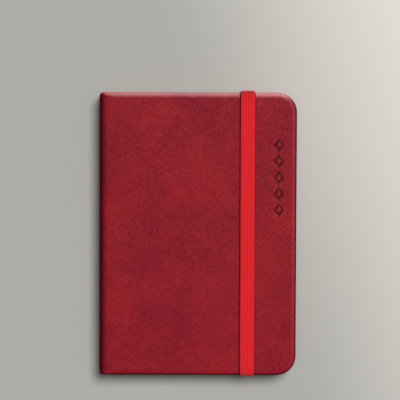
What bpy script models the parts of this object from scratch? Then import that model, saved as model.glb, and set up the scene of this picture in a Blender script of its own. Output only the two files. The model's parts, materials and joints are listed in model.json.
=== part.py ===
"""Pocket notebook: two leather-covered boards, a sewn paper block and an elastic closing band.

Frame: +Z up. The closed notebook lies on its back cover with its underside at Z 0. The spine is at -X,
the fore-edge at +X and the head at +Y. The origin is the centre of the underside. Units are metres.
Every piece that moves hangs from an empty on its joint's axis.
"""

import math

import bmesh
import bpy
from mathutils import Matrix

# Driving dimensions
COVER_WIDTH = 0.101
COVER_HEIGHT = 0.145
CLOSED_THICKNESS = 0.0143
FORE_CORNER_RADIUS = 0.010
PAGE_CORNER_RADIUS = 0.008
COVER_OVERHANG = 0.0025
HINGE_GAP = 0.0003
GLUE_GAP = 0.00005

# Layers of a cover, from its outer face to its inner face
LEATHER = 0.0006
BOARD = 0.0010
TURN_IN = 0.0004
PASTEDOWN = 0.00015
TURN_IN_WIDTH = 0.012
LEATHER_EDGE_ROUNDING = 0.0016
INNER_EDGE_ROUNDING = 0.0003
BOARD_DEPTH = LEATHER + GLUE_GAP
TURN_IN_DEPTH = BOARD_DEPTH + BOARD + GLUE_GAP
PASTEDOWN_DEPTH = TURN_IN_DEPTH + TURN_IN + GLUE_GAP
COVER_THICKNESS = PASTEDOWN_DEPTH + PASTEDOWN

# Paper block: 12 sewn sections, five single leaves that turn, and a flyleaf at each end
SECTION_COUNT = 12
FRONT_SECTIONS = 3
LEAF_COUNT = 5
LEAF = 0.00012
SECTION_FOLD_ROUNDING = 0.00028
BLOCK_LOW = COVER_THICKNESS + 0.0001
BLOCK_HIGH = CLOSED_THICKNESS - COVER_THICKNESS - 0.0001
BLOCK_ITEMS = SECTION_COUNT + LEAF_COUNT + 2
PAPER_HEIGHT = BLOCK_HIGH - BLOCK_LOW - (BLOCK_ITEMS - 1) * GLUE_GAP
SECTION = (PAPER_HEIGHT - (LEAF_COUNT + 2) * LEAF) / SECTION_COUNT

# Spine, from the outside in
SPINE_X = -COVER_WIDTH / 2
COVER_LEFT = SPINE_X + HINGE_GAP
COVER_RIGHT = COVER_WIDTH / 2
COVER_TOP = COVER_HEIGHT / 2
SPINE_CARD = 0.0008
SPINE_FLANGE = 0.0004
SPINE_FLANGE_LENGTH = 0.010
GAUZE = 0.0003
GAUZE_HALF_LENGTH = 0.060
SPINE_CARD_X = SPINE_X + LEATHER + GLUE_GAP
GAUZE_X = SPINE_CARD_X + SPINE_CARD + GLUE_GAP
THREAD_RADIUS = 0.0002
THREAD_STITCH = 0.0005
THREAD_X = GAUZE_X + GAUZE + GLUE_GAP + THREAD_RADIUS
THREAD_STATIONS = (-0.052, -0.018, 0.018, 0.052)
PAGE_LEFT = THREAD_X + THREAD_RADIUS + GLUE_GAP
PAGE_RIGHT = COVER_RIGHT - COVER_OVERHANG
PAGE_TOP = COVER_TOP - COVER_OVERHANG
HEADBAND_RADIUS = 0.00085
HEADBAND_X = PAGE_LEFT + HEADBAND_RADIUS
HEADBAND_Y = PAGE_TOP + HEADBAND_RADIUS + GLUE_GAP
SPINE_LOW = COVER_THICKNESS + 0.0002
SPINE_HIGH = CLOSED_THICKNESS - SPINE_LOW

# Elastic band, which runs over the head and the tail near the fore-edge
BAND_X = 0.0253
BAND_WIDTH = 0.0075
BAND = 0.0008
BAND_GAP = 0.0001
BAND_BEND = 0.0014
BAND_LEG_LOW = 0.0022
TAB = 0.0007
TAB_LOW = 0.00135
TAB_INNER_END = 0.058
TAB_RECESS_GAP = 0.0001

# Five stamped lozenges on the front cover
MARK_COUNT = 5
MARK_X = 0.0413
MARK_FIRST_Y = 0.0457
MARK_PITCH = 0.0083
MARK_HALF_WIDTH = 0.0025
MARK_HALF_HEIGHT = 0.0034
MARK_LINE = 0.0008
MARK_DEPTH = 0.00025

ARC_STEPS = 8
FRONT = 1
BACK = -1

PARTS = "pocket_notebook"
CUTTERS = "cutters"


def clear_scene():
    """Removes what the scene holds, and makes the two collections."""
    for obj in list(bpy.data.objects):
        bpy.data.objects.remove(obj)
    for name in (PARTS, CUTTERS):
        collection = bpy.data.collections.new(name)
        bpy.context.scene.collection.children.link(collection)


def link(obj, collection):
    """Puts an object in one collection only."""
    for used in list(obj.users_collection):
        used.objects.unlink(obj)
    bpy.data.collections[collection].objects.link(obj)


def linear(channel):
    """The linear value of one sRGB channel given as 0 to 255."""
    value = channel / 255
    if value <= 0.04045:
        return value / 12.92
    return ((value + 0.055) / 1.055) ** 2.4


def material(name, colour, roughness, metallic=0.0):
    """A Principled BSDF material. The colour is sRGB, 0 to 255."""
    made = bpy.data.materials.new(name)
    made.use_nodes = True
    shader = made.node_tree.nodes["Principled BSDF"]
    shader.inputs["Base Color"].default_value = [linear(c) for c in colour] + [1.0]
    shader.inputs["Roughness"].default_value = roughness
    shader.inputs["Metallic"].default_value = metallic
    return made


def make_materials():
    """Every material of the notebook, by name."""
    return {
        "cover_leather": material("cover_leather", (137, 34, 43), 0.55),
        "grey_board": material("grey_board", (150, 146, 138), 0.9),
        "endpaper": material("endpaper", (226, 217, 196), 0.85),
        "page_paper": material("page_paper", (238, 231, 212), 0.85),
        "spine_card": material("spine_card", (188, 176, 150), 0.9),
        "gauze": material("gauze", (232, 230, 222), 0.95),
        "thread": material("thread", (240, 238, 230), 0.7),
        "headband": material("headband", (176, 40, 48), 0.7),
        "elastic": material("elastic", (215, 37, 45), 0.75),
    }


def joint_empty(name, place, *members):
    """An empty on a joint's axis that carries pieces and other empties, which stay where they are."""
    empty = bpy.data.objects.new(name, None)
    empty.empty_display_size = 0.01
    empty.matrix_world = Matrix.Translation(place)
    bpy.data.collections[PARTS].objects.link(empty)
    for member in members:
        member.parent = empty
        member.matrix_parent_inverse = Matrix.Translation(place).inverted()
    return empty


def curve_object(name, dimensions):
    """An empty curve object in the parts collection."""
    data = bpy.data.curves.new(name, "CURVE")
    data.dimensions = dimensions
    obj = bpy.data.objects.new(name, data)
    bpy.data.collections[PARTS].objects.link(obj)
    return obj


def add_spline(obj, points, closed):
    """A straight-sided spline through points of two or three coordinates."""
    spline = obj.data.splines.new("POLY")
    spline.points.add(len(points) - 1)
    for target, point in zip(spline.points, points):
        target.co = (*point, 0.0, 1.0) if len(point) == 2 else (*point, 1.0)
    spline.use_cyclic_u = closed


def as_mesh(curve, merge_flat):
    """Replaces a curve object by a welded mesh object of the same name and place."""
    bpy.context.view_layer.update()
    evaluated = curve.evaluated_get(bpy.context.evaluated_depsgraph_get())
    mesh = bpy.data.meshes.new_from_object(evaluated)
    name, place = curve.name, curve.matrix_world.copy()
    bpy.data.objects.remove(curve)
    shape = bmesh.new()
    shape.from_mesh(mesh)
    bmesh.ops.remove_doubles(shape, verts=shape.verts, dist=1e-6)
    if merge_flat:
        bmesh.ops.dissolve_limit(
            shape, angle_limit=math.radians(0.5), verts=shape.verts, edges=shape.edges
        )
    bmesh.ops.recalc_face_normals(shape, faces=shape.faces)
    shape.to_mesh(mesh)
    shape.free()
    obj = bpy.data.objects.new(name, mesh)
    obj.matrix_world = place
    bpy.data.collections[PARTS].objects.link(obj)
    return obj


def flat_shape(name, outlines, low, high, merge_flat=True):
    """A flat piece between two heights. A second outline inside the first is a hole."""
    curve = curve_object(name, "2D")
    curve.data.fill_mode = "BOTH"
    curve.data.extrude = (high - low) / 2
    curve.location.z = (high + low) / 2
    for outline in outlines:
        add_spline(curve, outline, closed=True)
    return as_mesh(curve, merge_flat)


def arc(centre_x, centre_y, radius, start_degrees, sweep_degrees, steps=ARC_STEPS):
    """Points along a round stretch of an outline."""
    angles = [math.radians(start_degrees + sweep_degrees * i / steps) for i in range(steps + 1)]
    return [(centre_x + radius * math.cos(a), centre_y + radius * math.sin(a)) for a in angles]


def book_outline(left, right, top, fore_radius):
    """A rectangle with square corners at the spine and round ones at the fore-edge."""
    return [
        (left, top),
        (left, -top),
        *arc(right - fore_radius, fore_radius - top, fore_radius, 270, 90),
        *arc(right - fore_radius, top - fore_radius, fore_radius, 0, 90),
    ]


def box(name, low, high, collection=PARTS):
    """A rectangular block between two corners."""
    bpy.ops.mesh.primitive_cube_add(size=1.0)
    obj = bpy.context.active_object
    obj.name = name
    size = [h - l for l, h in zip(low, high)]
    centre = [(h + l) / 2 for l, h in zip(low, high)]
    obj.data.transform(Matrix.Translation(centre) @ Matrix.Diagonal((*size, 1.0)))
    link(obj, collection)
    return obj


def as_cutter(obj):
    """Marks an object as a cutter, which isn't part of the notebook."""
    link(obj, CUTTERS)
    obj.hide_render = True
    obj.display_type = "WIRE"
    return obj


def cut(obj, cutter):
    """Takes a cutter's volume away from an object."""
    modifier = obj.modifiers.new("cut_" + cutter.name, "BOOLEAN")
    modifier.operation = "DIFFERENCE"
    modifier.object = cutter


def round_edges(obj, width, segments, weight_of):
    """Rounds edges. weight_of gives an edge's share of the width from its two end points."""
    mesh = obj.data
    weights = mesh.attributes.new("bevel_weight_edge", "FLOAT", "EDGE")
    for edge in mesh.edges:
        ends = [obj.matrix_world @ mesh.vertices[i].co for i in edge.vertices]
        weights.data[edge.index].value = weight_of(*ends)
    modifier = obj.modifiers.new("rounding", "BEVEL")
    modifier.limit_method = "WEIGHT"
    modifier.width = width
    modifier.segments = segments
    modifier.use_clamp_overlap = False


def smooth(obj, degrees=35):
    """Shades an object smooth, with its hard edges kept sharp."""
    obj.data.shade_smooth()
    obj.data.set_sharp_from_angle(angle=math.radians(degrees))


def height_in_cover(side, depth):
    """The height of a layer that lies a given depth under a cover's outer face."""
    return CLOSED_THICKNESS - depth if side == FRONT else depth


def cover_layer(name, side, outline, depth, thickness):
    """A flat layer of a cover, a given depth under its outer face."""
    heights = (height_in_cover(side, depth), height_in_cover(side, depth + thickness))
    bpy.context.view_layer.update()
    return flat_shape(name, [outline], min(heights), max(heights))


def round_cover_edges(obj, side, depth, width, inner_share):
    """Rounds a cover layer's outer edge, and its inner edge by a share of that width."""
    bpy.context.view_layer.update()
    outer = height_in_cover(side, depth)

    def weight(a, b):
        if abs(a.z - b.z) > 1e-6:
            return 0.0
        return 1.0 if abs(a.z - outer) < 1e-6 else inner_share

    round_edges(obj, width, 4, weight)
    smooth(obj)


def board_shape(name, side, grow):
    """A cover's board, or a slightly larger copy that makes room for it in the leather."""
    inset = LEATHER + GLUE_GAP - grow
    outline = book_outline(
        COVER_LEFT + inset, COVER_RIGHT - inset, COVER_TOP - inset, FORE_CORNER_RADIUS - inset
    )
    depth = BOARD_DEPTH - grow
    board = cover_layer(name, side, outline, depth, BOARD + 2 * grow)
    round_cover_edges(board, side, depth, LEATHER_EDGE_ROUNDING - inset, 0.0)
    return board


def leather_shape(name, side):
    """A cover's leather: outer face, rounded edges, and turn-ins folded over the board."""
    outline = book_outline(COVER_LEFT, COVER_RIGHT, COVER_TOP, FORE_CORNER_RADIUS)
    leather = cover_layer(name, side, outline, 0.0, TURN_IN_DEPTH + TURN_IN)
    inner_share = INNER_EDGE_ROUNDING / LEATHER_EDGE_ROUNDING
    round_cover_edges(leather, side, 0.0, LEATHER_EDGE_ROUNDING, inner_share)
    cut(leather, as_cutter(board_shape(name + "_board_room", side, GLUE_GAP)))
    window_heights = (
        height_in_cover(side, BOARD_DEPTH + BOARD / 2),
        height_in_cover(side, COVER_THICKNESS + LEATHER),
    )
    window = box(
        name + "_window",
        (COVER_LEFT + LEATHER, TURN_IN_WIDTH - COVER_TOP, min(window_heights)),
        (COVER_RIGHT - TURN_IN_WIDTH, COVER_TOP - TURN_IN_WIDTH, max(window_heights)),
    )
    cut(leather, as_cutter(window))
    return leather


def pastedown_shape(name, side):
    """The endpaper half that is glued over a cover's board and turn-ins."""
    outline = book_outline(COVER_LEFT + LEATHER, PAGE_RIGHT, PAGE_TOP, PAGE_CORNER_RADIUS)
    return cover_layer(name, side, outline, PASTEDOWN_DEPTH, PASTEDOWN)


def lozenge(centre_y, inset):
    """A lozenge outline on the front cover, drawn smaller by an inset."""
    width = MARK_HALF_WIDTH - inset
    height = MARK_HALF_HEIGHT - inset * MARK_HALF_HEIGHT / MARK_HALF_WIDTH
    return [
        (MARK_X + width, centre_y),
        (MARK_X, centre_y + height),
        (MARK_X - width, centre_y),
        (MARK_X, centre_y - height),
    ]


def stamp_marks(leather):
    """Cuts a column of lozenge outlines into the front cover's leather."""
    for i in range(MARK_COUNT):
        centre_y = MARK_FIRST_Y - i * MARK_PITCH
        outlines = [lozenge(centre_y, 0.0), lozenge(centre_y, MARK_LINE)]
        stamp = flat_shape(
            f"stamp_{i + 1}",
            outlines,
            CLOSED_THICKNESS - MARK_DEPTH,
            CLOSED_THICKNESS + MARK_DEPTH,
            merge_flat=False,
        )
        cut(leather, as_cutter(stamp))


def make_front_cover():
    """The front cover's leather, board and pastedown."""
    leather = leather_shape("front_leather", FRONT)
    stamp_marks(leather)
    board = board_shape("front_board", FRONT, 0.0)
    return [leather, board, pastedown_shape("front_pastedown", FRONT)]


def make_back_cover():
    """The back cover, with a shallow channel at the head and at the tail for the band's glued ends."""
    leather = leather_shape("back_leather", BACK)
    board = board_shape("back_board", BACK, 0.0)
    for end, sign in (("head", 1), ("tail", -1)):
        reach = sorted((sign * (TAB_INNER_END - TAB_RECESS_GAP), sign * (COVER_TOP + LEATHER)))
        channel = box(
            f"band_channel_{end}",
            (BAND_X - BAND_WIDTH / 2 - TAB_RECESS_GAP, reach[0], TAB_LOW - GLUE_GAP),
            (BAND_X + BAND_WIDTH / 2 + TAB_RECESS_GAP, reach[1], COVER_THICKNESS),
        )
        as_cutter(channel)
        cut(leather, channel)
        cut(board, channel)
    return [leather, board, pastedown_shape("back_pastedown", BACK)]


def page_stack(name, low, thickness):
    """Paper with rounded fore-edge corners, from one leaf to a whole section."""
    outline = book_outline(PAGE_LEFT, PAGE_RIGHT, PAGE_TOP, PAGE_CORNER_RADIUS)
    return flat_shape(name, [outline], low, low + thickness)


def section_shape(name, low):
    """A sewn section, folded round at the spine."""
    section = page_stack(name, low, SECTION)
    bpy.context.view_layer.update()

    def weight(a, b):
        in_fold = max(a.x, b.x) < PAGE_LEFT + 1e-6
        return 1.0 if in_fold and abs(a.z - b.z) < 1e-6 else 0.0

    round_edges(section, SECTION_FOLD_ROUNDING, 3, weight)
    smooth(section)
    return section


def make_paper_block():
    """Every piece of paper from the back flyleaf up, as a dictionary of name to object."""
    plan = [("back_flyleaf", LEAF)]
    plan += [(f"section_{i:02d}", SECTION) for i in range(SECTION_COUNT, FRONT_SECTIONS, -1)]
    plan += [(f"turning_leaf_{i}", LEAF) for i in range(LEAF_COUNT, 0, -1)]
    plan += [(f"section_{i:02d}", SECTION) for i in range(FRONT_SECTIONS, 0, -1)]
    plan += [("front_flyleaf", LEAF)]
    made = {}
    low = BLOCK_LOW
    for name, thickness in plan:
        if thickness == SECTION:
            made[name] = section_shape(name, low)
        else:
            made[name] = page_stack(name, low, thickness)
        low += thickness + GLUE_GAP
    return made


def spine_leather_shape():
    """The strip of leather over the spine, folded in over the card at the head and the tail."""
    flange_x = GAUZE_X + SPINE_FLANGE
    leather = box("spine_leather", (SPINE_X, -COVER_TOP, SPINE_LOW), (flange_x, COVER_TOP, SPINE_HIGH))
    outside = 2 * LEATHER
    card_room = box(
        "spine_card_room",
        (SPINE_X + LEATHER, LEATHER - COVER_TOP, SPINE_LOW - outside),
        (GAUZE_X - GLUE_GAP / 2, COVER_TOP - LEATHER, SPINE_HIGH + outside),
    )
    flange_end = COVER_TOP - SPINE_FLANGE_LENGTH
    window = box(
        "spine_window",
        (SPINE_X + LEATHER + GLUE_GAP, -flange_end, SPINE_LOW - outside),
        (flange_x + LEATHER, flange_end, SPINE_HIGH + outside),
    )
    cut(leather, as_cutter(card_room))
    cut(leather, as_cutter(window))
    return leather


def wire(name, points, radius, resolution):
    """A round cord along a line of points, closed at both ends."""
    cord = curve_object(name, "3D")
    cord.data.bevel_depth = radius
    cord.data.bevel_resolution = resolution
    cord.data.use_fill_caps = True
    add_spline(cord, points, closed=False)
    made = as_mesh(cord, merge_flat=False)
    smooth(made, 60)
    return made


def thread_shape(name, station_y):
    """One line of linking stitches, stepping from section to section up the back of the block."""
    steps = 2 * SECTION_COUNT
    low, high = BLOCK_LOW + SECTION / 2, BLOCK_HIGH - SECTION / 2
    points = []
    for i in range(steps + 1):
        side = 1 if i % 4 in (1, 2) else -1
        points.append((THREAD_X, station_y + side * THREAD_STITCH, low + (high - low) * i / steps))
    return wire(name, points, THREAD_RADIUS, 2)


def make_spine():
    """The spine's leather, card, gauze, sewing threads and headbands."""
    pieces = {"spine_leather": spine_leather_shape()}
    card_top = COVER_TOP - LEATHER - GLUE_GAP
    pieces["spine_strip"] = box(
        "spine_strip",
        (SPINE_CARD_X, -card_top, SPINE_LOW),
        (SPINE_CARD_X + SPINE_CARD, card_top, SPINE_HIGH),
    )
    pieces["spine_gauze"] = box(
        "spine_gauze",
        (GAUZE_X, -GAUZE_HALF_LENGTH, BLOCK_LOW + SECTION / 2),
        (GAUZE_X + GAUZE, GAUZE_HALF_LENGTH, BLOCK_HIGH - SECTION / 2),
    )
    for i, station_y in enumerate(THREAD_STATIONS):
        name = f"sewing_thread_{i + 1}"
        pieces[name] = thread_shape(name, station_y)
    for end, sign in (("head", 1), ("tail", -1)):
        name = f"headband_{end}"
        ends = [(HEADBAND_X, sign * HEADBAND_Y, z) for z in (SPINE_LOW, SPINE_HIGH)]
        pieces[name] = wire(name, ends, HEADBAND_RADIUS, 4)
    return pieces


def band_outline():
    """The elastic band's side view: along the cover (x) and up (y), as a strap with two legs."""
    inner_y = COVER_TOP + BAND_GAP
    inner_z = CLOSED_THICKNESS + BAND_GAP
    bend_y, bend_z = inner_y - BAND_BEND, inner_z - BAND_BEND
    outer = BAND_BEND + BAND
    return [
        (inner_y + BAND, BAND_LEG_LOW),
        *arc(bend_y, bend_z, outer, 0, 90),
        *arc(-bend_y, bend_z, outer, 90, 90),
        (-inner_y - BAND, BAND_LEG_LOW),
        (-inner_y, BAND_LEG_LOW),
        *reversed(arc(-bend_y, bend_z, BAND_BEND, 90, 90)),
        *reversed(arc(bend_y, bend_z, BAND_BEND, 0, 90)),
        (inner_y, BAND_LEG_LOW),
    ]


def make_band():
    """The elastic band's strap, and its two ends glued into the back cover."""
    strap = flat_shape("elastic_band", [band_outline()], -BAND_WIDTH / 2, BAND_WIDTH / 2)
    upright = Matrix.Rotation(math.radians(90), 4, "Z") @ Matrix.Rotation(math.radians(90), 4, "X")
    strap.matrix_world = Matrix.Translation((BAND_X, 0.0, 0.0)) @ upright
    smooth(strap)
    tabs = []
    for end, sign in (("head", 1), ("tail", -1)):
        reach = sorted((sign * TAB_INNER_END, sign * (COVER_TOP + BAND_GAP + BAND)))
        tabs.append(
            box(
                f"band_tab_{end}",
                (BAND_X - BAND_WIDTH / 2, reach[0], TAB_LOW),
                (BAND_X + BAND_WIDTH / 2, reach[1], TAB_LOW + TAB),
            )
        )
    return strap, tabs


def paint(materials, pieces, slot):
    """Gives pieces one material."""
    for piece in pieces:
        piece.data.materials.clear()
        piece.data.materials.append(materials[slot])


def main():
    clear_scene()
    materials = make_materials()

    front = make_front_cover()
    back = make_back_cover()
    for leather, board, pastedown in (front, back):
        paint(materials, [leather], "cover_leather")
        paint(materials, [board], "grey_board")
        paint(materials, [pastedown], "endpaper")

    spine = make_spine()
    paint(materials, [spine["spine_leather"]], "cover_leather")
    paint(materials, [spine["spine_strip"]], "spine_card")
    paint(materials, [spine["spine_gauze"]], "gauze")
    paint(materials, [p for name, p in spine.items() if name.startswith("sewing")], "thread")
    paint(materials, [p for name, p in spine.items() if name.startswith("headband")], "headband")

    paper = make_paper_block()
    flyleaves = [paper["front_flyleaf"], paper["back_flyleaf"]]
    paint(materials, paper.values(), "page_paper")
    paint(materials, flyleaves, "endpaper")

    strap, tabs = make_band()
    paint(materials, [strap, *tabs], "elastic")

    front_hinge = (SPINE_X, 0.0, CLOSED_THICKNESS - COVER_THICKNESS - GLUE_GAP)
    back_hinge = (SPINE_X, 0.0, COVER_THICKNESS + GLUE_GAP)
    joint_empty("front_cover_axis", front_hinge, *front)
    joint_empty("front_flyleaf_axis", front_hinge, paper["front_flyleaf"])
    front_sections = [paper[f"section_{i:02d}"] for i in range(1, FRONT_SECTIONS + 1)]
    joint_empty("front_section_axis", front_hinge, *front_sections)
    for i in range(1, LEAF_COUNT + 1):
        joint_empty(f"turning_leaf_{i}_axis", front_hinge, paper[f"turning_leaf_{i}"])
    joint_empty("back_flyleaf_axis", back_hinge, paper["back_flyleaf"])
    band_axis = joint_empty("elastic_band_axis", (BAND_X, 0.0, CLOSED_THICKNESS), strap)
    joint_empty("back_cover_axis", back_hinge, *back, *tabs, band_axis)


main()
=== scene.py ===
import json
import math
import random

import bmesh
import bpy
import numpy as np
from mathutils import Matrix, Vector, noise
from mathutils.geometry import delaunay_2d_cdt


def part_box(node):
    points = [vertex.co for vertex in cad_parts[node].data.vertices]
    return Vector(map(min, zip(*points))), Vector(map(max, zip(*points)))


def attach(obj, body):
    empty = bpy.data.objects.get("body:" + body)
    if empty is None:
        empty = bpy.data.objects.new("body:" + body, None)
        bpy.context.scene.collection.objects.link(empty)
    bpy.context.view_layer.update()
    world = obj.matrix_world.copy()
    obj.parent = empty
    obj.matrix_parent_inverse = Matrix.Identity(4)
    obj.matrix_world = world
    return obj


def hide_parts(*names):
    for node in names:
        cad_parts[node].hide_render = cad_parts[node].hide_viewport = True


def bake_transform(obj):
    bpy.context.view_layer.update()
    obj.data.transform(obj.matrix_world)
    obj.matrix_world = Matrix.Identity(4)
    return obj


# Looks of the pocket notebook. Metres, in the CAD frame: the closed notebook lies on its back cover,
# spine at -X, fore-edge at +X, head at +Y. Sizes that the CAD gives are read from its boxes.

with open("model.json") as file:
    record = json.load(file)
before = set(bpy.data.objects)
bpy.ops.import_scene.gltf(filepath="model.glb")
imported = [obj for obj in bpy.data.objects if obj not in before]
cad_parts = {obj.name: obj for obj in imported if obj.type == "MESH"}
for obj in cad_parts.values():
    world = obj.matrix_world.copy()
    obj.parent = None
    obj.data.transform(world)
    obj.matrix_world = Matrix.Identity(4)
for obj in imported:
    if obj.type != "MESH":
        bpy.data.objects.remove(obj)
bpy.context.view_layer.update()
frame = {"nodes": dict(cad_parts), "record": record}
MM = 0.001
draw = random.Random(7)

# ---------------------------------------------------------------- sizes read from the CAD frame
_, COVER_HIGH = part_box("front_leather")
SPINE_CORNER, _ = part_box("spine_leather")
BAND_LOW, BAND_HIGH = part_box("elastic_band")
TAB_LOW, TAB_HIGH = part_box("band_tab_head")
BAND_MIDDLE = (BAND_LOW.x + BAND_HIGH.x) / 2
BAND_HALF_WIDTH = (BAND_HIGH.x - BAND_LOW.x) / 2
RIGHT = COVER_HIGH.x
TOP = COVER_HIGH.y
THICKNESS = COVER_HIGH.z
MIDDLE = THICKNESS / 2
COVER_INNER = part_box("front_leather")[0].z

# ---------------------------------------------------------------- sizes of the leather skin
FORE_RADIUS = 10.0 * MM
SPINE_CORNER_RADIUS = 1.1 * MM
SPINE_INSET = 0.15 * MM
SPINE_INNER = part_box("spine_gauze")[0].x - 0.02 * MM
GROOVE_LOW = 11.0 * MM
GROOVE_HIGH = 12.9 * MM
GROOVE_DEPTH = 0.4 * MM
SPINE_ROUND_X = 3.0 * MM
BEND_END = -46.0 * MM
INNER_ROUND = 0.3 * MM
EDGE_INSET = 3.0 * MM
EDGE_ROUND = 0.3 * MM
SLOPE_SHARE = 0.14
ROUND_SHARE = 0.21
WALL_SHARE = 0.84
INNER_INSET = 0.35 * MM
# Painted shade: darker on the fore-edge and tail rims, and where the leather bends round the spine.
RIM_PAINTED_SHADE = 0.7
RIM_SHADE_FROM = 0.35 * MM
RIM_SHADE_TO = 1.3 * MM
BEND_PAINTED_SHADE = 0.8
BEND_SHADE_WIDTH = 5.0 * MM
# Painted shadow: a dark line along each side of the band on the front cover; and a slightly darker track
# under the band.
BAND_SHADOW_LIGHT = 0.34
BAND_SHADOW_REACH = (0.1 * MM, 0.65 * MM)
BAND_TRACK_DARK = 0.12
BAND_TRACK_FADE = 0.3 * MM
EDGE_STEPS = 7
ARC_STEPS = 14
GRID = 3.2 * MM
GRID_MARGIN = 0.9 * MM
WAVE = 0.035 * MM

# ---------------------------------------------------------------- the leather's texture, in noise scales
MOTTLE_SCALE = 42.0
BLOTCH_SCALE = 260.0
SPECKLE_SCALE = 1500.0
PORE_SCALE = 1350.0
WRINKLE_SCALE = 700.0
# Painted highlight: how much paler the leather is painted on the glossy edges, most on the head edge; and
# how much glossier those edges are.
EDGE_HIGHLIGHT_GAIN = 1.6
RUBBED_GLOSS = 0.95

# ---------------------------------------------------------------- the stamped marks
MARK_COUNT = 5
MARK_X = RIGHT - 9.2 * MM
MARK_FIRST_Y = TOP - 26.8 * MM
MARK_PITCH = 8.3 * MM
MARK_HALF = Vector((2.6 * MM, 3.6 * MM))
MARK_DEPTH = 0.15 * MM
MARK_RATIOS = (1.0, 0.76, 0.70, 0.46)
MARK_SIDE_POINTS = 4
MARK_CLEARANCE = 1.2

# ---------------------------------------------------------------- the elastic band
RIBS = 6
RIB_POINTS = 6
RIB_PITCH = 2 * BAND_HALF_WIDTH / RIBS
BAND_TURN = 1.8 * MM
TAB_TURN = 0.9 * MM
BAND_HALF_THICKNESS = 0.4 * MM
BAND_SHIFT = 0.18 * MM
BAND_NECKING = 0.07
STRAP_LIFT = 0.05 * MM
HEAD_STAND_OFF = 0.4 * MM
TAIL_STAND_OFF = 0.1 * MM

# ---------------------------------------------------------------- paper
PAGE_RADIUS = 8.0 * MM
SHEETS = 8
SHEET_GAP = 0.008 * MM
RULE_PITCH = 6.5 * MM
RULE_HALF_SHARE = 0.026
RULE_HEAD_MARGIN = 15 * MM
RULE_TAIL_MARGIN = 8 * MM

# ---------------------------------------------------------------- threads and headbands
CROSS_THREAD_PITCH = 0.62 * MM
GAUZE_PITCH = 0.9 * MM
LINEN_TWIST = 0.5 * MM
HEADBAND_TURNS = 24
HEADBAND_AROUND = 20
HEADBAND_ALONG = 140


class Shape:
    """Points and faces that are collected and then made into one mesh object."""

    def __init__(self):
        self.points = []
        self.faces = []
        self.slots = []
        self.notes = []

    def point(self, place, note=(0.0, 0.0, 0.0)):
        self.points.append(tuple(place))
        self.notes.append(tuple(note))
        return len(self.points) - 1

    def face(self, corners, slot=0):
        self.faces.append(tuple(corners))
        self.slots.append(slot)

    def strip(self, row, other, closed=False, slot=0):
        """Quads between two rows of points of the same length."""
        count = len(row)
        for i in range(count if closed else count - 1):
            k = (i + 1) % count
            self.face((row[i], row[k], other[k], other[i]), slot)

    def build(self, name, materials, sharp_degrees=40):
        """A closed mesh object, with its rest places and notes kept for the materials."""
        mesh = bpy.data.meshes.new(name)
        mesh.from_pydata(self.points, [], self.faces)
        for made in materials:
            mesh.materials.append(made)
        mesh.polygons.foreach_set("material_index", self.slots)
        for label, values in (("rest", self.points), ("note", self.notes)):
            stored = mesh.attributes.new(label, "FLOAT_VECTOR", "POINT")
            stored.data.foreach_set("vector", np.array(values, np.float32).ravel())
        solid = bmesh.new()
        solid.from_mesh(mesh)
        open_edges = [e for e in solid.edges if e.is_boundary]
        if open_edges:
            bmesh.ops.holes_fill(solid, edges=open_edges, sides=0)
        bmesh.ops.recalc_face_normals(solid, faces=solid.faces)
        solid.to_mesh(mesh)
        solid.free()
        mesh.shade_smooth()
        mesh.set_sharp_from_angle(angle=math.radians(sharp_degrees))
        obj = bpy.data.objects.new(name, mesh)
        bpy.context.scene.collection.objects.link(obj)
        return obj


# ---------------------------------------------------------------- material helpers


def srgb(red, green, blue):
    """Linear colour from sRGB values of 0 to 255."""
    channels = [c / 255 for c in (red, green, blue)]
    return tuple(c / 12.92 if c <= 0.04045 else ((c + 0.055) / 1.055) ** 2.4 for c in channels) + (1.0,)


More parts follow.
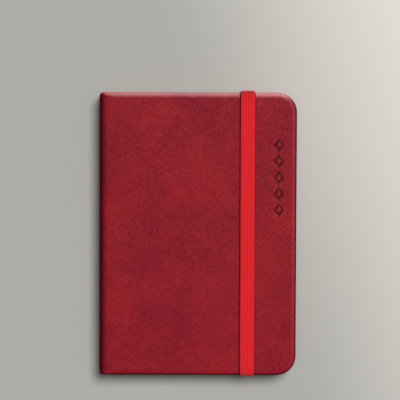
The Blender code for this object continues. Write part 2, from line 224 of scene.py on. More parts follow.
class Nodes:
    """Short names for the shader nodes that the materials and the world here need."""

    def __init__(self, tree):
        self.tree = tree

    def new(self, kind, **settings):
        node = self.tree.nodes.new(kind)
        for key, value in settings.items():
            setattr(node, key, value)
        return node

    def join(self, source, target):
        self.tree.links.new(source, target)

    def set(self, socket, value):
        if isinstance(value, bpy.types.NodeSocket):
            self.join(value, socket)
        else:
            socket.default_value = value

    def attribute(self, name):
        return self.new("ShaderNodeAttribute", attribute_name=name).outputs["Vector"]

    def place(self):
        return self.new("ShaderNodeTexCoord").outputs["Object"]

    def separate(self, vector):
        node = self.new("ShaderNodeSeparateXYZ")
        self.join(vector, node.inputs[0])
        return node.outputs

    def math(self, operation, a, b=0.0):
        node = self.new("ShaderNodeMath", operation=operation)
        self.set(node.inputs[0], a)
        self.set(node.inputs[1], b)
        return node.outputs[0]

    def noise(self, vector, scale, detail=3.0, roughness=0.55, distortion=0.0):
        node = self.new("ShaderNodeTexNoise")
        self.join(vector, node.inputs["Vector"])
        node.inputs["Scale"].default_value = scale
        node.inputs["Detail"].default_value = detail
        node.inputs["Roughness"].default_value = roughness
        node.inputs["Distortion"].default_value = distortion
        return node.outputs["Fac"]

    def cells(self, vector, scale):
        node = self.new("ShaderNodeTexVoronoi")
        self.join(vector, node.inputs["Vector"])
        node.inputs["Scale"].default_value = scale
        return node.outputs["Distance"]

    def ramp(self, value, stops):
        node = self.new("ShaderNodeValToRGB")
        self.join(value, node.inputs[0])
        elements = node.color_ramp.elements
        while len(elements) < len(stops):
            elements.new(0.5)
        for element, (position, colour) in zip(elements, stops):
            element.position = position
            element.color = colour
        return node.outputs["Color"]

    def mix(self, share, a, b, blend_type="MIX"):
        node = self.new("ShaderNodeMix", data_type="RGBA", blend_type=blend_type)
        self.set(node.inputs[0], share)
        self.set(node.inputs[6], a)
        self.set(node.inputs[7], b)
        return node.outputs[2]

    def grey(self, value):
        node = self.new("ShaderNodeCombineColor")
        for i in range(3):
            self.join(value, node.inputs[i])
        return node.outputs[0]

    def between(self, value, low, high, new_low, new_high):
        node = self.new("ShaderNodeMapRange")
        self.set(node.inputs[0], value)
        for i, number in enumerate((low, high, new_low, new_high)):
            node.inputs[i + 1].default_value = number
        return node.outputs[0]

    def bump(self, height, distance, strength=1.0, under=None):
        node = self.new("ShaderNodeBump")
        self.join(height, node.inputs["Height"])
        node.inputs["Distance"].default_value = distance
        node.inputs["Strength"].default_value = strength
        if under is not None:
            self.join(under, node.inputs["Normal"])
        return node.outputs["Normal"]


class Surface(Nodes):
    """A Principled BSDF material that is being put together."""

    def __init__(self, name, roughness, specular=0.5):
        self.material = bpy.data.materials.new(name)
        self.material.use_nodes = True
        super().__init__(self.material.node_tree)
        self.shader = self.tree.nodes["Principled BSDF"]
        self.shader.inputs["Roughness"].default_value = roughness
        self.shader.inputs["Specular IOR Level"].default_value = specular

    def finish(self, colour, normal=None, roughness=None):
        self.set(self.shader.inputs["Base Color"], colour)
        if normal is not None:
            self.join(normal, self.shader.inputs["Normal"])
        if roughness is not None:
            self.set(self.shader.inputs["Roughness"], roughness)
        return self.material


# ---------------------------------------------------------------- materials


def leather_material(name, shade, roughness, grain, satin_range):
    """Burgundy leather: soft mottling from crimson to brick red, fine pores, a satin surface.

    The note's first number is 1 on the glossier edges, which also get a painted highlight, a paler colour
    that is strongest on the head edge; its second is the share of painted shade where the leather bends
    round the spine and at the very edge of the fore-edge and tail. On the front cover a painted shadow
    runs along each side of the band, with a slightly darker track under it.
    """
    def tone(*colour):
        return srgb(*(channel * share for channel, share in zip(colour, shade)))

    n = Surface(name, roughness)
    rest = n.attribute("rest")
    edge_gloss_and_highlight, darker = n.separate(n.attribute("note"))[:2]
    large = n.noise(rest, MOTTLE_SCALE, 4.0, 0.62, 0.6)
    small = n.noise(rest, BLOTCH_SCALE, 3.0, 0.6)
    base = n.ramp(
        large,
        [
            (0.32, tone(122, 19, 35)),
            (0.50, tone(134, 22, 35)),
            (0.68, tone(148, 26, 34)),
        ],
    )
    base = n.mix(n.between(small, 0.3, 0.7, 0.0, 0.35), base, tone(148, 28, 42))
    speckle = n.noise(rest, SPECKLE_SCALE, 2.0, 0.7)
    light = n.between(speckle, 0.3, 0.7, 0.86, 1.14)
    along, _, height = n.separate(rest)
    # Painted shadow of the band: a dark line along each side of it, with a slightly darker track under it,
    # on the front cover only.
    from_band = n.math("ABSOLUTE", n.math("SUBTRACT", along, BAND_MIDDLE))
    from_line = n.math("ABSOLUTE", n.math("SUBTRACT", from_band, BAND_HALF_WIDTH))
    line = n.between(from_line, *BAND_SHADOW_REACH, 1.0 - BAND_SHADOW_LIGHT, 0.0)
    track_edge = (BAND_HALF_WIDTH - BAND_TRACK_FADE, BAND_HALF_WIDTH)
    track = n.between(from_band, *track_edge, BAND_TRACK_DARK, 0.0)
    band_shadow_and_track = n.math("MULTIPLY", n.math("MAXIMUM", line, track), n.math("GREATER_THAN", height, MIDDLE))
    clear_of_band_shadow = n.math("SUBTRACT", 1.0, band_shadow_and_track)
    # Painted shade from the note darkens the spine's bend and the rims; the painted highlight makes the
    # glossy edges paler.
    kept = n.math("SUBTRACT", 1.0, darker)
    painted_highlight = n.between(edge_gloss_and_highlight, 0.0, 1.0, 1.0, EDGE_HIGHLIGHT_GAIN)
    light = n.math("MULTIPLY", light, n.math("MULTIPLY", kept, painted_highlight))
    light = n.math("MULTIPLY", light, clear_of_band_shadow)
    base = n.mix(1.0, base, n.grey(light), "MULTIPLY")
    pores = n.cells(rest, PORE_SCALE)
    wrinkles = n.noise(rest, WRINKLE_SCALE, 4.0, 0.6)
    fine = n.bump(pores, 0.05 * MM, 0.5 * grain)
    normal = n.bump(wrinkles, 0.12 * MM, 0.35 * grain, fine)
    satin = n.between(speckle, 0.32, 0.68, *satin_range)
    gloss = n.math("ADD", satin, n.math("MULTIPLY", edge_gloss_and_highlight, RUBBED_GLOSS))
    # The gloss is weaker in the painted shade and in the band's painted shadow.
    open_share = n.math("MULTIPLY", kept, clear_of_band_shadow)
    gloss = n.math("MULTIPLY", gloss, n.math("MULTIPLY", open_share, open_share))
    n.set(n.shader.inputs["Specular IOR Level"], gloss)
    return n.finish(base, normal, n.between(large, 0.3, 0.7, roughness + 0.05, roughness - 0.05))


def elastic_material():
    """Red woven elastic: cords along its length, bound by fine cross threads.

    The note is the place across the band, the length along it, and the share by which it is darker: painted
    shade in its grooves and at its sides.
    """
    n = Surface("elastic_woven", 0.6, 0.15)
    across, along, darker = n.separate(n.attribute("note"))[:3]
    cord = n.math("FLOOR", n.math("DIVIDE", n.math("ADD", across, BAND_HALF_WIDTH), RIB_PITCH))
    phase = n.math("MULTIPLY", n.math("MODULO", cord, 2.0), 0.5)
    turns = n.math("ADD", n.math("DIVIDE", along, CROSS_THREAD_PITCH), phase)
    wave = n.math("SINE", n.math("MULTIPLY", turns, 2 * math.pi))
    threads = n.between(wave, -1.0, 1.0, 0.0, 1.0)
    rest = n.attribute("rest")
    fuzz = n.noise(rest, 1800.0, 2.0, 0.6)
    streak = n.noise(n.attribute("note"), 900.0, 2.0, 0.5)
    base = n.mix(threads, srgb(205, 11, 24), srgb(237, 35, 45))
    base = n.mix(n.between(streak, 0.35, 0.65, 0.0, 0.4), base, srgb(246, 49, 53))
    base = n.mix(n.between(fuzz, 0.4, 0.6, 0.0, 0.2), base, srgb(196, 14, 26))
    # The note's darkness: painted shade in the grooves and at the sides, and the darker flat inner side.
    base = n.mix(1.0, base, n.grey(n.math("SUBTRACT", 1.0, darker)), "MULTIPLY")
    normal = n.bump(threads, 0.06 * MM, 0.6, n.bump(fuzz, 0.04 * MM, 0.5))
    from_middle = n.math("ABSOLUTE", n.separate(rest)[1])
    gloss = n.between(from_middle, TOP - 2.0 * MM, TOP + 0.3 * MM, 0.15, 0.45)
    n.set(n.shader.inputs["Specular IOR Level"], gloss)
    n.shader.inputs["Sheen Weight"].default_value = 0.15
    n.shader.inputs["Sheen Roughness"].default_value = 0.4
    return n.finish(base, normal)


def paper_material(name, colour, ruled):
    """Cream paper with faint fibres, and grey ruled lines across the page where it is ruled."""
    n = Surface(name, 0.85, 0.2)
    rest = n.attribute("rest")
    fibres = n.noise(rest, 900.0, 4.0, 0.6)
    cloud = n.noise(rest, 60.0, 2.0, 0.5)
    darker = tuple(c * 0.93 for c in colour[:3]) + (1.0,)
    base = n.mix(n.between(fibres, 0.35, 0.65, 0.0, 0.5), colour, darker)
    base = n.mix(n.between(cloud, 0.3, 0.7, 0.0, 0.3), base, darker)
    if ruled:
        height = n.separate(rest)[1]
        rows = n.math("FRACT", n.math("DIVIDE", height, RULE_PITCH))
        line = n.math("LESS_THAN", n.math("ABSOLUTE", n.math("SUBTRACT", rows, 0.5)), RULE_HALF_SHARE)
        below_head = n.math("LESS_THAN", height, TOP - RULE_HEAD_MARGIN)
        above_tail = n.math("GREATER_THAN", height, RULE_TAIL_MARGIN - TOP)
        line = n.math("MULTIPLY", line, n.math("MULTIPLY", below_head, above_tail))
        base = n.mix(n.math("MULTIPLY", line, 0.7), base, srgb(150, 158, 168))
    normal = n.bump(fibres, 0.02 * MM, 0.4)
    return n.finish(base, normal)


def board_material(name, colour):
    """Pressed grey or buff board with fibres and flecks."""
    n = Surface(name, 0.9, 0.2)
    place = n.place()
    fibres = n.noise(place, 500.0, 5.0, 0.65, 1.2)
    flecks = n.cells(place, 420.0)
    darker = tuple(c * 0.72 for c in colour[:3]) + (1.0,)
    base = n.mix(n.between(fibres, 0.35, 0.65, 0.0, 0.8), colour, darker)
    base = n.mix(n.between(flecks, 0.0, 0.12, 0.6, 0.0), base, darker)
    return n.finish(base, n.bump(fibres, 0.08 * MM, 0.6))


def gauze_material():
    """Open cotton gauze, with square threads in both directions."""
    n = Surface("gauze_weave", 0.95)
    along, up = n.separate(n.place())[1:3]
    ways = [n.math("SINE", n.math("MULTIPLY", way, 2 * math.pi / GAUZE_PITCH)) for way in (along, up)]
    weave = n.math("MAXIMUM", *ways)
    base = n.mix(n.between(weave, 0.0, 0.8, 0.0, 1.0), srgb(168, 158, 136), srgb(236, 233, 224))
    return n.finish(base, n.bump(weave, 0.1 * MM, 0.8))


def thread_material():
    """Twisted white linen thread."""
    n = Surface("linen_thread", 0.75)
    along, up = n.separate(n.place())[1:3]
    twist = n.math("SINE", n.math("MULTIPLY", n.math("ADD", along, up), 2 * math.pi / LINEN_TWIST))
    base = n.mix(n.between(twist, -1.0, 1.0, 0.0, 1.0), srgb(214, 208, 194), srgb(244, 242, 236))
    return n.finish(base, n.bump(twist, 0.05 * MM, 0.7))


def headband_material():
    """Red and cream silk stripes wound round the headband's core."""
    n = Surface("headband_silk", 0.55)
    winding = n.separate(n.attribute("note"))[0]
    stripe = n.math("SINE", n.math("MULTIPLY", winding, math.pi))
    mask = n.between(stripe, -0.15, 0.15, 0.0, 1.0)
    base = n.mix(mask, srgb(172, 30, 40), srgb(232, 222, 200))
    fuzz = n.noise(n.attribute("rest"), 2500.0, 2.0, 0.6)
    return n.finish(base, n.bump(fuzz, 0.04 * MM, 0.5))


# ---------------------------------------------------------------- the leather skin


class Path:
    """A line of (x, z) points that is read by its length."""

    def __init__(self, points):
        self.points = np.array(points, float)
        steps = np.linalg.norm(np.diff(self.points, axis=0), axis=1)
        self.lengths = np.concatenate([[0.0], np.cumsum(steps)])
        self.total = self.lengths[-1]

    def at(self, length):
        return [float(np.interp(length, self.lengths, self.points[:, i])) for i in range(2)]


def outer_bend():
    """From the spine's side, through the hinge groove and round the edge, onto the front face."""
    spine = SPINE_CORNER.x + SPINE_INSET
    points = []
    for i in range(13):
        z = GROOVE_LOW + (GROOVE_HIGH - GROOVE_LOW) * i / 12
        points.append((spine + GROOVE_DEPTH * math.sin(math.pi * i / 12) ** 2, z))
    round_z = THICKNESS - GROOVE_HIGH
    for i in range(1, 13):
        angle = math.pi - math.pi / 2 * i / 12
        x = spine + SPINE_ROUND_X * (1 + math.cos(angle))
        points.append((x, GROOVE_HIGH + round_z * math.sin(angle)))
    points.append(((points[-1][0] + BEND_END) / 2, THICKNESS))
    points.append((BEND_END, THICKNESS))
    return Path(points)


def inner_bend():
    """From the spine's inner side, round the inner corner, onto the cover's inner face."""
    points = [(SPINE_INNER, GROOVE_LOW)]
    for i in range(7):
        angle = math.pi - math.pi / 2 * i / 6
        x = SPINE_INNER + INNER_ROUND * (1 + math.cos(angle))
        points.append((x, COVER_INNER - INNER_ROUND * (1 - math.sin(angle))))
    points.append((BEND_END, COVER_INNER))
    return Path(points)


OUTER_BEND = outer_bend()
INNER_BEND = inner_bend()
BEND_START = BEND_END - OUTER_BEND.total
SKIN_START = BEND_START - (GROOVE_LOW - MIDDLE)


def smoothstep(value, low, high):
    share = min(max((value - low) / (high - low), 0.0), 1.0)
    return share * share * (3 - 2 * share)


def skin_point(s, v, depth_share, sink=0.0):
    """A place in the leather skin: s runs from the spine's middle to the fore-edge, v from tail to head."""
    if s >= BEND_END:
        outer, inner = (s, THICKNESS), (s, COVER_INNER)
    elif s >= BEND_START:
        outer = OUTER_BEND.at(s - BEND_START)
        inner = INNER_BEND.at((s - BEND_START) / OUTER_BEND.total * INNER_BEND.total)
    else:
        z = MIDDLE + s - SKIN_START
        outer, inner = (SPINE_CORNER.x + SPINE_INSET, z), (SPINE_INNER, z)
    x = outer[0] + (inner[0] - outer[0]) * depth_share
    z = outer[1] + (inner[1] - outer[1]) * depth_share
    ripple = noise.noise(Vector((s * 55, v * 45, 3.0))) + 0.5 * noise.noise(Vector((s * 130, v * 120, 8.0)))
    z += WAVE * ripple * (1 - depth_share) * smoothstep(s, BEND_END, BEND_END + 8 * MM) - sink
    return x, v, z


def edge_profile():
    """(inset share, depth share, inner inset) steps round the cover's edge, from outer to inner face."""
    steps = []
    corner = EDGE_ROUND / EDGE_INSET
    for i in range(EDGE_STEPS + 1):
        share = i / EDGE_STEPS
        steps.append((1 - share * (1 - corner), SLOPE_SHARE * share**2.2, 0.0))
    for i in range(1, 5):
        angle = math.pi / 2 * i / 4
        depth_share = SLOPE_SHARE + ROUND_SHARE * (1 - math.cos(angle))
        steps.append((corner * (1 - math.sin(angle)), depth_share, 0.0))
    steps.append((0.0, WALL_SHARE, 0.0))
    for i in range(1, 5):
        angle = math.pi / 2 * i / 4
        inner = 1 - math.cos(angle)
        steps.append((0.0, WALL_SHARE + (1 - WALL_SHARE) * math.sin(angle), inner))
    return steps


def skin_stations():
    """s values of the grid's columns, close together round the spine's bend."""
    spine = list(np.linspace(SKIN_START, BEND_START, 5)[:-1])
    bend = [BEND_START + length for length in OUTER_BEND.lengths[:-1]]
    straight_end = RIGHT - FORE_RADIUS
    count = round((straight_end - BEND_END) / GRID)
    return spine + bend + list(np.linspace(BEND_END, straight_end, count + 1))


STATIONS = skin_stations()
ROWS = list(np.linspace(FORE_RADIUS - TOP, TOP - FORE_RADIUS, 40))


def spine_corner(s):
    """How far the head and tail edges draw in where the outline turns round the spine's corner."""
    if s >= BEND_END:
        return 0.0
    x, z = OUTER_BEND.at(s - BEND_START)
    reach = (x - SPINE_CORNER.x - SPINE_INSET) / SPINE_CORNER_RADIUS if z > GROOVE_HIGH else 0.0
    return SPINE_CORNER_RADIUS * (1 - math.sqrt(1 - (1 - min(max(reach, 0.0), 1.0)) ** 2))


def rim(inset):
    """The cover's outline, drawn in by an inset: head edge, fore-edge and tail edge, as (s, v)."""
    centre_s, centre_v = RIGHT - FORE_RADIUS, TOP - FORE_RADIUS

    def near_spine(s):
        slope = inset * (0.6 + 0.4 * smoothstep(s, BEND_END - 2 * MM, BEND_END + 3 * MM))
        return slope + spine_corner(s)

    head = [(s, TOP - near_spine(s)) for s in STATIONS]
    radius = FORE_RADIUS - inset
    angles = [math.pi / 2 * i / ARC_STEPS for i in range(ARC_STEPS + 1)]
    turn = [(centre_s + radius * math.sin(a), centre_v + radius * math.cos(a)) for a in angles[1:]]
    side = [(RIGHT - inset, v) for v in reversed(ROWS[1:-1])]
    lower = [(s, -v) for s, v in reversed(turn)]
    tail = [(s, -v) for s, v in reversed(head)]
    return head + turn + side + lower + tail


def mark_level(s, v):
    """How far a place lies from the nearest stamped mark's centre: 1 on its outline."""
    levels = []
    for i in range(MARK_COUNT):
        centre = MARK_FIRST_Y - i * MARK_PITCH
        levels.append(abs(s - MARK_X) / MARK_HALF.x + abs(v - centre) / MARK_HALF.y)
    return min(levels)


def mark_loops():
    """The four outlines of each stamped mark, as lists of (s, v, sink)."""
    loops = []
    for i in range(MARK_COUNT):
        centre = MARK_FIRST_Y - i * MARK_PITCH
        for ratio, sink in zip(MARK_RATIOS, (0.0, MARK_DEPTH, MARK_DEPTH, 0.0)):
            corners = [(1, 0), (0, 1), (-1, 0), (0, -1)]
            loop = []
            for (a, b), (c, d) in zip(corners, corners[1:] + corners[:1]):
                for k in range(MARK_SIDE_POINTS):
                    x = (a + (c - a) * k / MARK_SIDE_POINTS) * MARK_HALF.x * ratio
                    y = (b + (d - b) * k / MARK_SIDE_POINTS) * MARK_HALF.y * ratio
                    loop.append((MARK_X + x, centre + y, sink))
            loops.append(loop)
    return loops


def fill_face(shape, outline, indices, depth_share, marked, place):
    """Triangles inside an outline whose points are already in the shape."""
    flat = list(outline)
    known = list(indices)
    loops = [list(range(len(flat)))]

    def add(s, v, sink=0.0):
        flat.append((s, v))
        known.append(shape.point(place(s, v, depth_share, sink), skin_note(s, v, EDGE_INSET)))
        return len(flat) - 1

    left = [add(SKIN_START, v) for v in ROWS]
    loops[0] += left
    columns = STATIONS[1:] + [STATIONS[-1] + GRID, STATIONS[-1] + 2 * GRID]
    ends = [TOP - 6.8 * MM, TOP - 3.6 * MM]
    rows = [-v for v in reversed(ends)] + ROWS + ends
    for s in columns:
        for v in rows:
            past_s, past_v = s - (RIGHT - FORE_RADIUS), abs(v) - (TOP - FORE_RADIUS)
            if past_s > 0 and past_v > 0:
                inside = math.hypot(past_s, past_v) < FORE_RADIUS - EDGE_INSET - GRID_MARGIN
            else:
                inside = past_s < FORE_RADIUS - EDGE_INSET - GRID_MARGIN
            if inside and not (marked and mark_level(s, v) < MARK_CLEARANCE):
                add(s, v)
    if marked:
        for loop in mark_loops():
            loops.append([add(*point) for point in loop])
    edges = [(loop[i - 1], loop[i]) for loop in loops for i in range(len(loop))]
    result = delaunay_2d_cdt([Vector(p) for p in flat], edges, [], 1, 1e-9)
    origin = [sources[0] for sources in result[3]]
    for face in result[2]:
        corners = [origin[i] for i in face]
        s, v = np.mean([flat[i] for i in corners], axis=0)
        in_groove = marked and MARK_RATIOS[-1] < mark_level(s, v) < MARK_RATIOS[0]
        shape.face([known[i] for i in corners], 1 if in_groove else 0)


def skin_note(s, v, inset, depth_share=0.0):
    """How much edge gloss and painted highlight, and how much painted shade, the leather gets at an inset
    from the cover's outline.
    """
    past_s = max(s - (RIGHT - FORE_RADIUS), 0.0)
    past_v = max(abs(v) - (TOP - FORE_RADIUS), 0.0)
    upright = past_v / math.hypot(past_s, past_v) if past_v > 0 else 0.0
    at_head = smoothstep(math.copysign(upright, v), 0.7, 1.0)
    at_tail = smoothstep(-math.copysign(upright, v), 0.55, 1.0)
    # The glossier edges also get a painted highlight: strongest on the head edge, weaker on the fore-edge,
    # left off the tail.
    edge_gloss_and_highlight = (1 - smoothstep(inset, 0.0, EDGE_INSET)) * (0.25 + 0.75 * at_head - 0.25 * at_tail)
    # Painted shade at the very edge of the fore-edge and tail, left off the lit head edge.
    lit_rim = smoothstep(math.copysign(upright, v), 0.5, 0.85)
    rim_shade = RIM_PAINTED_SHADE * (1 - smoothstep(inset, RIM_SHADE_FROM, RIM_SHADE_TO)) * (1 - lit_rim)
    rim_shade *= 1 - 0.6 * smoothstep(depth_share, 0.35, 0.8)
    x = OUTER_BEND.at(s - BEND_START)[0] if s < BEND_END else s
    # Painted shade where the leather bends round the spine, away from the light, left off where the head
    # edge's painted highlight lies.
    bend_shade = BEND_PAINTED_SHADE * (1 - smoothstep(x, SPINE_CORNER.x, SPINE_CORNER.x + BEND_SHADE_WIDTH))
    bend_shade *= smoothstep(s, BEND_START, BEND_START + (GROOVE_HIGH - GROOVE_LOW))
    bend_shade *= 1 - 0.9 * edge_gloss_and_highlight * at_head
    return edge_gloss_and_highlight, max(rim_shade, bend_shade), 0.0


def cover_skin(name, front, materials):
    """Half of the cover's one sheet of leather: a cover with its turned-in edges, and half the spine."""

    def place(s, v, depth_share, sink=0.0):
        x, y, z = skin_point(s, v, depth_share, sink)
        return x, y, z if front else THICKNESS - z

    shape = Shape()
    rings = []
    for share, depth_share, inner in edge_profile():
        inset = EDGE_INSET * share + INNER_INSET * inner
        outline = rim(inset)
        points = []
        for s, v in outline:
            points.append(shape.point(place(s, v, depth_share), skin_note(s, v, inset, depth_share)))
        rings.append((outline, points))
    for (_, row), (_, following) in zip(rings, rings[1:]):
        shape.strip(row, following)
    fill_face(shape, *rings[0], 0.0, front, place)
    fill_face(shape, *rings[-1], 1.0, False, place)
    return shape.build(name, materials)


# ---------------------------------------------------------------- paper


def leaf_columns(left, right):
    """x values along a leaf: close together at the spine and at the round corners."""
    bend = list(np.linspace(left, left + 12 * MM, 15)[:-1])
    middle = list(np.linspace(left + 12 * MM, left + 48 * MM, 13)[:-1])
    plain = list(np.linspace(left + 48 * MM, right - PAGE_RADIUS, 6)[:-1])
    corner = [right - PAGE_RADIUS * (1 - math.sin(math.pi / 2 * i / 8)) for i in range(9)]
    return bend + middle + plain + corner


def add_leaf(shape, left, right, top, low, thickness, slots):
    """One leaf with round fore-edge corners. slots are those of its faces and of its cut edges."""
    columns = leaf_columns(left, right)
    skew = draw.uniform(-0.04, 0.04) * MM
    rows = []
    for x in columns:
        past = max(x - (right - PAGE_RADIUS), 0.0)
        half = top - PAGE_RADIUS + math.sqrt(max(PAGE_RADIUS**2 - past**2, 0.0))
        corners = [(-half, low), (half, low), (half, low + thickness), (-half, low + thickness)]
        rows.append([shape.point((x, y + skew, z)) for y, z in corners])
    for row, following in zip(rows, rows[1:]):
        for k in range(4):
            is_face = k in (0, 2)
            corners = (row[k], row[(k + 1) % 4], following[(k + 1) % 4], following[k])
            shape.face(corners, slots[0] if is_face else slots[1])
    shape.face(rows[0], slots[1])
    shape.face(rows[-1], slots[1])


def section_leaves(name, node, materials):
    """A sewn section as its separate leaves, with their fold rounded at the spine."""
    low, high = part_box(node)
    shape = Shape()
    pitch = (high.z - low.z) / SHEETS
    for i in range(SHEETS):
        level = abs((i + 0.5) / SHEETS * 2 - 1)
        fold = (high.z - low.z) / 2 * (1 - math.sqrt(1 - level**2))
        right = high.x - abs(draw.gauss(0.0, 0.07)) * MM
        z = low.z + pitch * i + SHEET_GAP / 2
        add_leaf(shape, low.x + fold, right, high.y, z, pitch - SHEET_GAP, (0, 1))
    return shape.build(name, materials)


def single_leaf(name, node, materials):
    """One loose leaf: a flyleaf, or a page that turns."""
    low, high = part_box(node)
    shape = Shape()
    add_leaf(shape, low.x, high.x, high.y, low.z, high.z - low.z, (0, 1))
    return shape.build(name, materials)


# ---------------------------------------------------------------- the elastic band


def band_half_line(stand_off):
    """The band's middle line from its glued end to the middle of the front, as (y, z)."""
    leg_y = (TOP + BAND_HIGH.y) / 2 + stand_off
    strap_z = (THICKNESS + BAND_HIGH.z) / 2 + STRAP_LIFT
    tab_z = (TAB_LOW.z + TAB_HIGH.z) / 2
    half = [(y, tab_z) for y in np.linspace(TAB_LOW.y, leg_y - TAB_TURN, 5)[:-1]]
    for i in range(7):
        angle = -math.pi / 2 + math.pi / 2 * i / 6
        half.append((leg_y - TAB_TURN * (1 - math.cos(angle)), tab_z + TAB_TURN * (1 + math.sin(angle))))
    turn_z = strap_z - BAND_TURN
    half += [(leg_y, z) for z in np.linspace(tab_z + TAB_TURN, turn_z, 9)[1:-1]]
    for i in range(13):
        angle = math.pi / 2 * i / 12
        half.append((leg_y - BAND_TURN * (1 - math.cos(angle)), turn_z + BAND_TURN * math.sin(angle)))
    return half + [(y, strap_z) for y in np.linspace(leg_y - BAND_TURN, 0, 30)[1:]]


def band_line():
    """The band's whole middle line, from the head's glued end to the tail's."""
    head = band_half_line(HEAD_STAND_OFF)
    tail = band_half_line(TAIL_STAND_OFF)
    return head + [(-y, z) for y, z in reversed(tail[:-1])]


def band_section(turning):
    """Points round the band's cross-section, as (x, height, darkness): ribs outside, flat inside.

    The darkness is painted shade in the grooves between the ribs, more where the band turns over the
    cover's edge and the grooves are also deeper, and at the band's rounded sides; the flat inner side is
    darker too.
    """
    section = []
    for i in range(RIBS * RIB_POINTS + 1):
        x = -BAND_HALF_WIDTH + RIB_PITCH * i / RIB_POINTS
        groove = 1 - abs(math.sin(math.pi * i / RIB_POINTS)) ** (0.6 + 0.9 * turning)
        edge = math.sqrt(max(1 - (abs(x) / BAND_HALF_WIDTH) ** (5 - 2.6 * turning), 0.0))
        height = BAND_HALF_THICKNESS * (1 - (0.55 + 0.4 * turning) * groove) * edge
        # Painted shade: the grooves darker, more at the turn, and the band's rounded sides darker.
        side = smoothstep(abs(x), 0.78 * BAND_HALF_WIDTH, BAND_HALF_WIDTH)
        section.append((x, height, max((0.19 + 0.5 * turning) * groove, 0.3 * side)))
    for k in range(9):
        height = -BAND_HALF_THICKNESS * (0.6 if k in (0, 8) else 1.0)
        section.append((BAND_HALF_WIDTH * (1 - k / 4), height, 0.2))
    return section


def elastic_band(name, material):
    """The woven band, from one glued end over the closed covers to the other."""
    line = band_line()
    shape = Shape()
    rows = []
    length = 0.0
    for i, (y, z) in enumerate(line):
        before, after = line[max(i - 1, 0)], line[min(i + 1, len(line) - 1)]
        step = Vector((after[0] - before[0], after[1] - before[1])).normalized()
        length += math.dist(before, (y, z))
        drift = BAND_SHIFT + 0.06 * MM * noise.noise(Vector((length * 30, 0.0, 0.0)))
        row = []
        turning = smoothstep(abs(y), TOP - 2.2 * MM, TOP)
        for x, height, darkness in band_section(turning):
            across = BAND_MIDDLE + drift + x * (1 - BAND_NECKING * turning)
            place = (across, y + step.y * height, z - step.x * height)
            row.append(shape.point(place, (x, length, darkness)))
        rows.append(row)
    for row, following in zip(rows, rows[1:]):
        shape.strip(row, following, closed=True)
    return shape.build(name, [material], 60)


# ---------------------------------------------------------------- headbands


def headband(name, node, material):
    """A cord with silk wound round it, at the end of the page block's spine."""
    low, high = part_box(node)
    centre_x, centre_y = (low.x + high.x) / 2, (low.y + high.y) / 2
    radius = (high.x - low.x) / 2
    shape = Shape()
    rows = []
    for i in range(HEADBAND_ALONG + 1):
        share = i / HEADBAND_ALONG
        taper = math.sqrt(max(1 - max(abs(share - 0.5) * 2 - 0.94, 0.0) / 0.06 * 0.6, 0.2))
        row = []
        for k in range(HEADBAND_AROUND):
            angle = 2 * math.pi * k / HEADBAND_AROUND
            winding = share * HEADBAND_TURNS + k / HEADBAND_AROUND
            bulge = 0.94 + 0.06 * math.cos(2 * math.pi * winding)
            reach = radius * bulge * taper
            place = (
                centre_x + reach * math.cos(angle),
                centre_y + reach * math.sin(angle),
                low.z + (high.z - low.z) * share,
            )
            row.append(shape.point(place, (winding / 2, 0.0, 0.0)))
        rows.append(row)
    for row, following in zip(rows, rows[1:]):
        shape.strip(row, following, closed=True)
    return shape.build(name, [material], 60)


# ---------------------------------------------------------------- put the notebook together


def dress_cad_node(node, material):
    """Gives a CAD node that stays in view a finished material."""
    mesh = frame["nodes"][node].data
    mesh.materials.clear()
    mesh.materials.append(material)
    if "rest" not in mesh.attributes:
        places = np.zeros(len(mesh.vertices) * 3, np.float32)
        mesh.vertices.foreach_get("co", places)
        mesh.attributes.new("rest", "FLOAT_VECTOR", "POINT").data.foreach_set("vector", places)


def make_cover():
    leather = leather_material("burgundy_leather", (1.0, 1.0, 1.0), 0.46, 1.0, (0.0, 0.14))
    stamped = leather_material("stamped_leather", (0.64, 0.5, 0.36), 0.35, 0.3, (0.0, 0.14))
    front = cover_skin("cover_skin_front", True, [leather, stamped])
    back = cover_skin("cover_skin_back", False, [leather])
    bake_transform(front)
    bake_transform(back)
    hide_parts("front_leather", "spine_leather")
    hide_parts("back_leather")


def make_paper():
    cream = srgb(236, 228, 208)
    ruled = paper_material("ruled_paper", cream, True)
    cut_edge = paper_material("paper_edge", srgb(228, 219, 198), False)
    endpaper = paper_material("endpaper_plain", srgb(224, 214, 192), False)
    pages = [ruled, cut_edge]
    bodies = frame["record"]["behaviour"]["bodies"]
    for body, nodes in bodies.items():
        for node in nodes:
            if node.startswith("section_"):
                piece = section_leaves(f"{node}_leaves", node, pages)
            elif node.startswith("turning_leaf_"):
                piece = single_leaf(f"{node}_sheet", node, pages)
            elif node.endswith("_flyleaf"):
                piece = single_leaf(f"{node}_sheet", node, [endpaper, cut_edge])
            else:
                continue
            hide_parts(node)
            if body == "text_block":
                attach(piece, body)
            else:
                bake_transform(piece)
    for node in ("front_pastedown", "back_pastedown"):
        dress_cad_node(node, endpaper)


def make_small_parts():
    band = elastic_band("elastic_band_woven", elastic_material())
    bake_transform(band)
    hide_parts("elastic_band", "band_tab_head", "band_tab_tail")
    silk = headband_material()
    for end in ("head", "tail"):
        cord = headband(f"headband_{end}_wound", f"headband_{end}", silk)
        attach(cord, "text_block")
        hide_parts(f"headband_{end}")
    grey = board_material("grey_board_fibres", srgb(150, 146, 138))
    buff = board_material("buff_card_fibres", srgb(188, 176, 150))
    dress_cad_node("front_board", grey)
    dress_cad_node("back_board", grey)
    dress_cad_node("spine_strip", buff)
    dress_cad_node("spine_gauze", gauze_material())
    linen = thread_material()
    for node in frame["nodes"]:
        if node.startswith("sewing_thread"):
            dress_cad_node(node, linen)


# ---------------------------------------------------------------- floor, light and camera


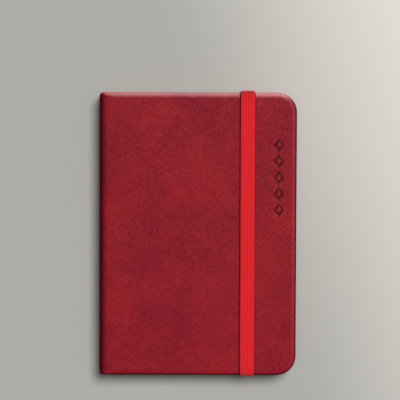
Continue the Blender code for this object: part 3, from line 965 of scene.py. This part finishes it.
# The floor's colour holds a painted pool of light towards the upper right.
FLOOR_DARK = srgb(174, 173, 169)
FLOOR_PAINTED_LIGHT = srgb(229, 225, 219)
FLOOR_STEPS = ((0.018, 0.0), (0.034, 0.06), (0.051, 0.19), (0.083, 0.48), (0.112, 0.72), (0.148, 1.0))
FLOOR_FAR = 0.3
FLOOR_REACH = 0.7
FLOOR_HALF = 30.0
FLOOR_DROP = 0.08 * MM
PAINTED_LIGHT_SIDE = (0.938, 0.347)
KEY_DIRECTION = Vector((0.26, 0.38, 1.0))
KEY_ANGLE = 26.0
KEY_STRENGTH = 2.84
ROOM_SHARPNESS = 12.0
ROOM_LOW = 0.07
ROOM_HIGH = 0.49


def floor_tone(share):
    """A floor colour: 0 is the unlit tone and 1 the tone of the painted pool of light."""
    return tuple(dark + (pale - dark) * share for dark, pale in zip(FLOOR_DARK, FLOOR_PAINTED_LIGHT))


def towards_painted_light(n, across, up):
    """How far a place lies towards the floor's painted pool of light."""
    return n.math("ADD", n.math("MULTIPLY", across, PAINTED_LIGHT_SIDE[0]), n.math("MULTIPLY", up, PAINTED_LIGHT_SIDE[1]))


def make_floor():
    """A plain floor: even at the left and below, with a soft pool of light at the upper right painted into
    its colour.
    """
    half = FLOOR_HALF
    mesh = bpy.data.meshes.new("floor")
    corners = [(-half, -half, 0), (half, -half, 0), (half, half, 0), (-half, half, 0)]
    mesh.from_pydata(corners, [], [(0, 1, 2, 3)])
    floor = bpy.data.objects.new("floor", mesh)
    floor.location.z = -FLOOR_DROP
    bpy.context.scene.collection.objects.link(floor)
    n = Surface("floor_paint", 0.8, 0.0)
    across, up = n.separate(n.place())[:2]
    stops = [(at / FLOOR_REACH, floor_tone(share)) for at, share in FLOOR_STEPS]
    stops.append((1.0, floor_tone(FLOOR_FAR)))
    place = n.between(towards_painted_light(n, across, up), 0.0, FLOOR_REACH, 0.0, 1.0)
    mesh.materials.append(n.finish(n.ramp(place, stops)))


def make_lights():
    """One soft light from the upper right, and a dim room that is brightest straight above."""
    data = bpy.data.lights.new("key", "SUN")
    data.angle = math.radians(KEY_ANGLE)
    data.energy = KEY_STRENGTH
    data.color = (1.0, 0.99, 0.98)
    lamp = bpy.data.objects.new("key", data)
    lamp.rotation_mode = "QUATERNION"
    lamp.rotation_quaternion = KEY_DIRECTION.to_track_quat("Z", "Y")
    bpy.context.scene.collection.objects.link(lamp)

    world = bpy.data.worlds.new("studio")
    world.use_nodes = True
    n = Nodes(world.node_tree)
    ways = n.separate(n.new("ShaderNodeTexCoord").outputs["Generated"])
    room = n.math("POWER", n.between(ways[2], -1.0, 1.0, 0.0, 1.0), ROOM_SHARPNESS)
    lit = n.grey(n.between(room, 0.0, 1.0, ROOM_LOW, ROOM_HIGH))
    # The backdrop carries on the floor's painted light towards the upper right.
    side = n.between(towards_painted_light(n, ways[0], ways[1]), 0.0, 0.03, 0.0, 1.0)
    seen = n.mix(side, FLOOR_DARK, floor_tone(FLOOR_FAR))
    is_camera = n.new("ShaderNodeLightPath").outputs["Is Camera Ray"]
    n.join(n.mix(is_camera, lit, seen), world.node_tree.nodes["Background"].inputs["Color"])
    bpy.context.scene.world = world


CAMERA_DISTANCE = 0.86
FIELD = 0.2046
CAMERA_TILT = 2.9
CAMERA_ROLL = 0.2
AIM = Vector((1.11 * MM, 17.65 * MM, THICKNESS))


def make_camera():
    """A long lens that looks nearly straight down, with the notebook a little low in the picture."""
    data = bpy.data.cameras.new("camera")
    data.sensor_width = 36.0
    data.lens = data.sensor_width * CAMERA_DISTANCE / FIELD
    data.clip_end = 20.0
    camera = bpy.data.objects.new("camera", data)
    tilt = math.radians(CAMERA_TILT)
    camera.location = AIM + Vector((0, math.sin(tilt), math.cos(tilt))) * CAMERA_DISTANCE
    turn = Matrix.Rotation(-tilt, 4, "X") @ Matrix.Rotation(math.radians(CAMERA_ROLL), 4, "Z")
    camera.rotation_euler = turn.to_euler()
    bpy.context.scene.collection.objects.link(camera)
    bpy.context.scene.camera = camera


make_cover()
make_paper()
make_small_parts()
make_floor()
make_lights()
make_camera()
bpy.context.scene.view_settings.view_transform = "Standard"
